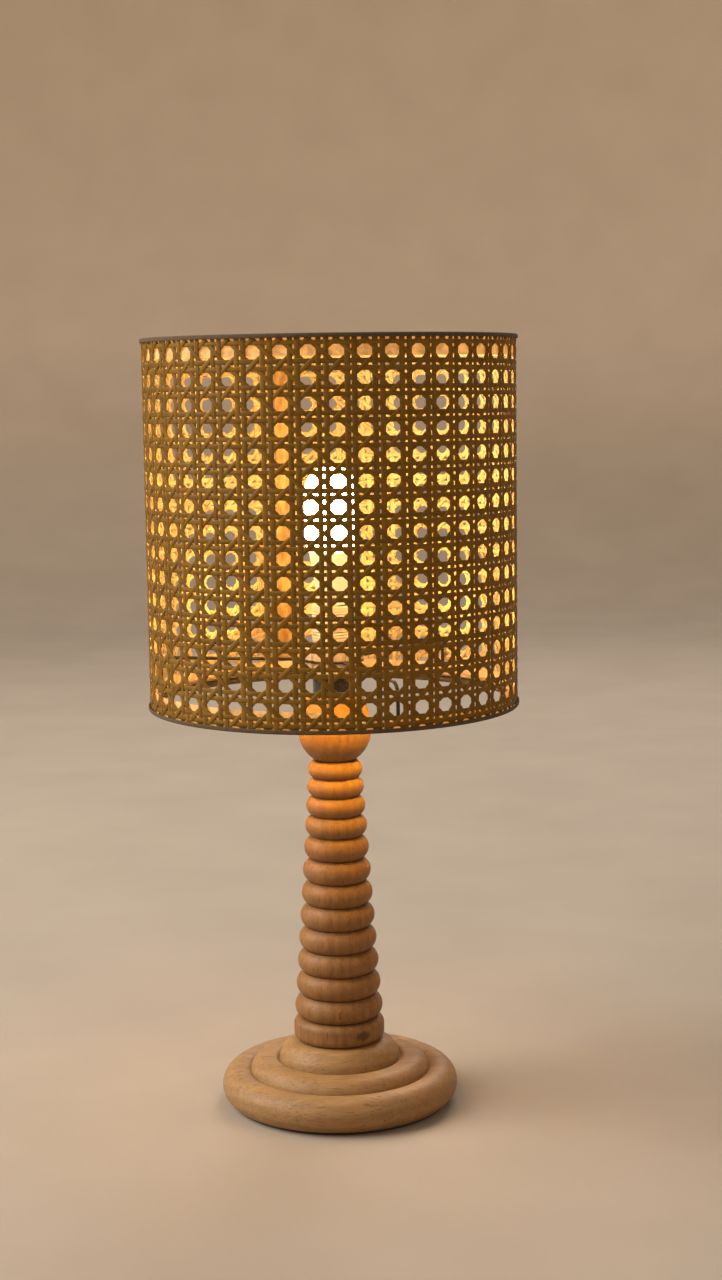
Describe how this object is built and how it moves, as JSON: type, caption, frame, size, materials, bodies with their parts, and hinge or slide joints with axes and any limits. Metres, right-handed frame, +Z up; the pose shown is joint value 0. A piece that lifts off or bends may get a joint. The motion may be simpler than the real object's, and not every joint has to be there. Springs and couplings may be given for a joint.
{
  "type": "table lamp",
  "caption": "Table lamp: a turned wooden column of tapering beads on a stepped round base, with an open cane drum shade round an opal bulb.",
  "frame": {"origin": "on the lamp's axis, on the surface that the lamp stands on", "axes": "+Z up along the lamp's axis, -Y towards the viewer of the picture, the cord outlet at +Y"},
  "size_m": [0.25, 0.25, 0.522],
  "materials": {
    "wood": "satin turned hardwood",
    "felt": "matte felt",
    "black_plastic": "glossy moulded",
    "steel": "zinc plated",
    "brass": "plain brass",
    "ceramic": "glazed white",
    "ring_plastic": "satin cream",
    "fitter_metal": "dark coated wire",
    "lining": "pale translucent strip",
    "cane": "woven cane",
    "trim": "woven tape",
    "opal": "opal, lit",
    "bulb_plastic": "satin white",
    "cap_metal": "rolled bright"
  },
  "bodies": {
    "stand": {"felt_pad": "felt", "base": "wood", "cord_grommet": "black_plastic", "base_washer": "steel", "base_nut": "steel", "lamp_rod": "brass", "column": "wood", "holder_cup": "wood", "cup_nut": "brass", "holder_cap": "black_plastic", "holder_insert": "ceramic", "centre_contact": "brass", "terminal_screws": "brass", "screw_shell": "brass", "holder_skirt": "ring_plastic"},
    "lower_ring": {"shade_ring_lower": "ring_plastic"},
    "shade": {"fitter_collar": "fitter_metal", "fitter_spokes": "fitter_metal", "bottom_hoop": "fitter_metal", "top_hoop": "fitter_metal", "bottom_lining": "lining", "top_lining": "lining", "cane_webbing": "cane", "bottom_trim": "trim", "top_trim": "trim"},
    "upper_ring": {"shade_ring_upper": "ring_plastic"},
    "bulb_tip": {"bulb_tip": "brass"},
    "bulb": {"bulb_globe": "opal", "bulb_housing": "bulb_plastic", "led_board": "bulb_plastic", "bulb_screw_cap": "cap_metal", "bulb_insulator": "black_plastic"}
  },
  "joints": [
    {"name": "shade_turn", "type": "hinge", "parent": "stand", "child": "lower_ring", "pos_m": [0, 0, 0.302], "axis": [0, 0, 1], "continuous": true},
    {"name": "shade_lift", "type": "slide", "parent": "lower_ring", "child": "shade", "axis": [0, 0, 1], "range_m": [0, 0.045]},
    {"name": "ring_turn", "type": "hinge", "parent": "shade", "child": "upper_ring", "pos_m": [0, 0, 0.3106], "axis": [0, 0, 1], "continuous": true},
    {"name": "bulb_rise", "type": "slide", "parent": "stand", "child": "bulb_tip", "axis": [0, 0, 1], "range_m": [0, 0.0142]},
    {"name": "bulb_turn", "type": "hinge", "parent": "bulb_tip", "child": "bulb", "pos_m": [0, 0, 0.335], "axis": [0, 0, 1], "range_deg": [0, 1800]}
  ],
  "couplings": [
    {"joint": "bulb_rise", "follows": "bulb_turn", "m_per_rad": 0.000449}
  ]
}
